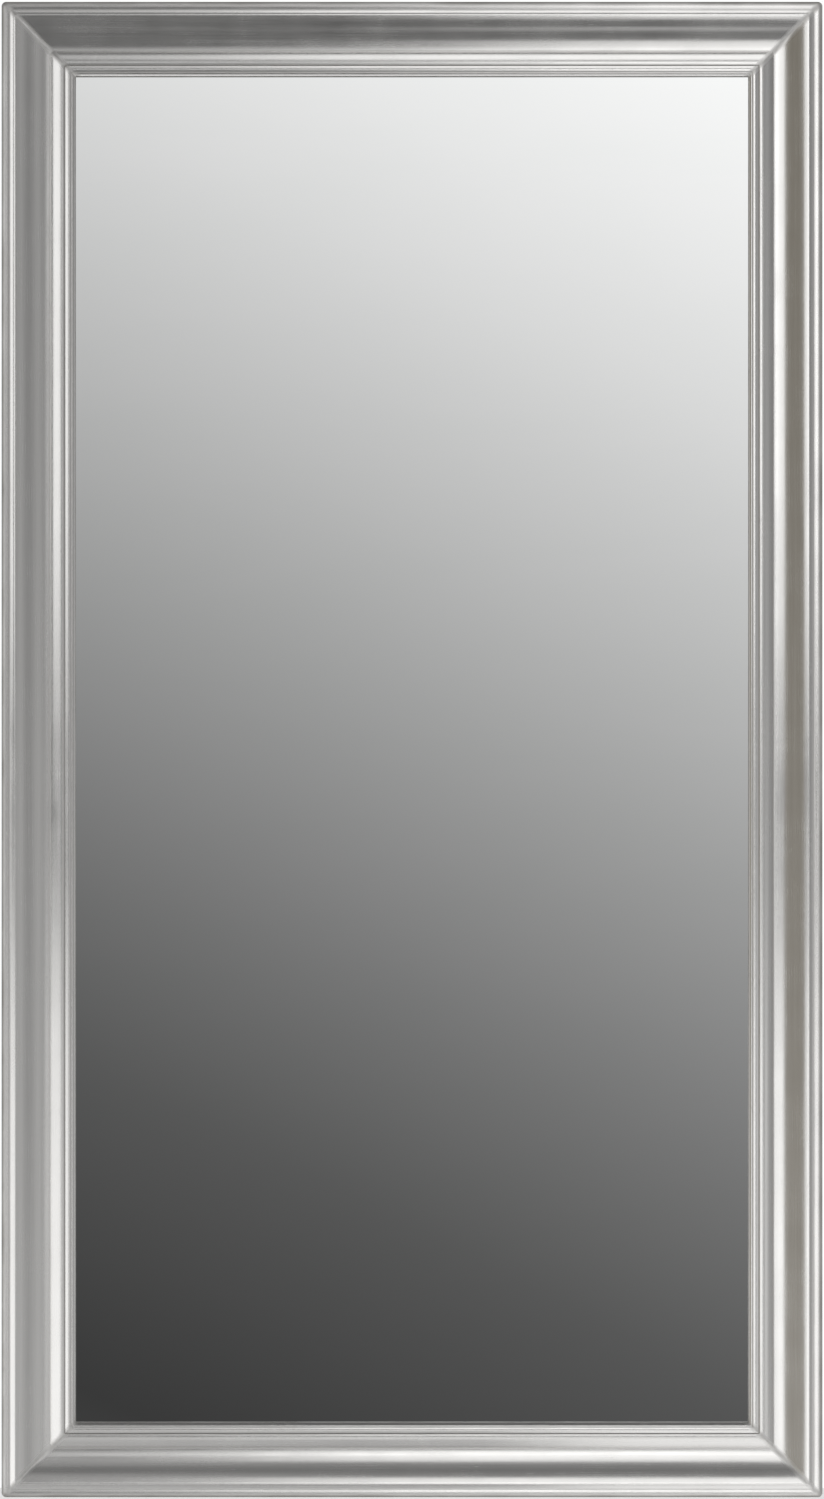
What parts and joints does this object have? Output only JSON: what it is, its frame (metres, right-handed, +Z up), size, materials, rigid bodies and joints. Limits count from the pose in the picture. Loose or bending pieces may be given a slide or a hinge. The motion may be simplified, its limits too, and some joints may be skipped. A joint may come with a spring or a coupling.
{
  "type": "wall mirror",
  "caption": "Rectangular wall mirror in a mitred silver ogee-moulding frame, with a removable back panel held by turn buttons and swinging ring hangers.",
  "frame": {"origin": "on the wall plane, behind the centre of the frame", "axes": "+X to the viewer's right, +Y from the viewer to the wall, +Z up"},
  "size_m": [0.73, 0.0268, 1.33],
  "materials": {
    "silver_leaf": "silver leaf on wood, satin",
    "mirror_glass": "polished",
    "hardboard": "pressed fibre, matt",
    "zinc_steel": "bright zinc plate",
    "spring_steel": "plain",
    "spacer_rubber": "matt",
    "bumper_rubber": "matt"
  },
  "bodies": {
    "frame": {"frame_top_rail": "silver_leaf", "frame_bottom_rail": "silver_leaf", "frame_left_stile": "silver_leaf", "frame_right_stile": "silver_leaf", "corner_v_nails": "spring_steel", "mirror_glass": "mirror_glass", "edge_spacers": "spacer_rubber", "back_panel": "hardboard", "turn_button_screws": "zinc_steel", "hanger_screws": "zinc_steel", "hanger_strap_upright_left": "zinc_steel", "hanger_strap_upright_right": "zinc_steel", "hanger_strap_sideways_top": "zinc_steel", "hanger_strap_sideways_bottom": "zinc_steel", "wall_bumper_top_left": "bumper_rubber", "wall_bumper_top_right": "bumper_rubber", "wall_bumper_bottom_left": "bumper_rubber", "wall_bumper_bottom_right": "bumper_rubber"},
    "turn_button_01": {"turn_button_01": "zinc_steel"},
    "turn_button_02": {"turn_button_02": "zinc_steel"},
    "turn_button_03": {"turn_button_03": "zinc_steel"},
    "turn_button_04": {"turn_button_04": "zinc_steel"},
    "turn_button_05": {"turn_button_05": "zinc_steel"},
    "turn_button_06": {"turn_button_06": "zinc_steel"},
    "turn_button_07": {"turn_button_07": "zinc_steel"},
    "turn_button_08": {"turn_button_08": "zinc_steel"},
    "turn_button_09": {"turn_button_09": "zinc_steel"},
    "turn_button_10": {"turn_button_10": "zinc_steel"},
    "hanger_ring_upright_left": {"hanger_ring_upright_left": "zinc_steel"},
    "hanger_ring_upright_right": {"hanger_ring_upright_right": "zinc_steel"},
    "hanger_ring_sideways_top": {"hanger_ring_sideways_top": "zinc_steel"},
    "hanger_ring_sideways_bottom": {"hanger_ring_sideways_bottom": "zinc_steel"}
  },
  "joints": [
    {"name": "turn_button_01_turn", "type": "hinge", "parent": "frame", "child": "turn_button_01", "pos_m": [-0.165, -0.006, -0.618], "axis": [0, 1, 0], "continuous": true},
    {"name": "turn_button_02_turn", "type": "hinge", "parent": "frame", "child": "turn_button_02", "pos_m": [-0.165, -0.006, 0.618], "axis": [0, 1, 0], "continuous": true},
    {"name": "turn_button_03_turn", "type": "hinge", "parent": "frame", "child": "turn_button_03", "pos_m": [0.165, -0.006, -0.618], "axis": [0, 1, 0], "continuous": true},
    {"name": "turn_button_04_turn", "type": "hinge", "parent": "frame", "child": "turn_button_04", "pos_m": [0.165, -0.006, 0.618], "axis": [0, 1, 0], "continuous": true},
    {"name": "turn_button_05_turn", "type": "hinge", "parent": "frame", "child": "turn_button_05", "pos_m": [-0.318, -0.006, -0.45], "axis": [0, 1, 0], "continuous": true},
    {"name": "turn_button_06_turn", "type": "hinge", "parent": "frame", "child": "turn_button_06", "pos_m": [0.318, -0.006, -0.45], "axis": [0, 1, 0], "continuous": true},
    {"name": "turn_button_07_turn", "type": "hinge", "parent": "frame", "child": "turn_button_07", "pos_m": [-0.318, -0.006, 0], "axis": [0, 1, 0], "continuous": true},
    {"name": "turn_button_08_turn", "type": "hinge", "parent": "frame", "child": "turn_button_08", "pos_m": [0.318, -0.006, 0], "axis": [0, 1, 0], "continuous": true},
    {"name": "turn_button_09_turn", "type": "hinge", "parent": "frame", "child": "turn_button_09", "pos_m": [-0.318, -0.006, 0.45], "axis": [0, 1, 0], "continuous": true},
    {"name": "turn_button_10_turn", "type": "hinge", "parent": "frame", "child": "turn_button_10", "pos_m": [0.318, -0.006, 0.45], "axis": [0, 1, 0], "continuous": true},
    {"name": "hanger_ring_upright_left_swing", "type": "hinge", "parent": "frame", "child": "hanger_ring_upright_left", "pos_m": [-0.3365, -0.00362, 0.335], "axis": [-1, 0, 0], "range_deg": [0, 170]},
    {"name": "hanger_ring_upright_right_swing", "type": "hinge", "parent": "frame", "child": "hanger_ring_upright_right", "pos_m": [0.3365, -0.00362, 0.335], "axis": [-1, 0, 0], "range_deg": [0, 170]},
    {"name": "hanger_ring_sideways_top_swing", "type": "hinge", "parent": "frame", "child": "hanger_ring_sideways_top", "pos_m": [-0.265, -0.00362, 0.6365], "axis": [0, 0, -1], "range_deg": [0, 170]},
    {"name": "hanger_ring_sideways_bottom_swing", "type": "hinge", "parent": "frame", "child": "hanger_ring_sideways_bottom", "pos_m": [-0.265, -0.00362, -0.6365], "axis": [0, 0, -1], "range_deg": [0, 170]}
  ]
}
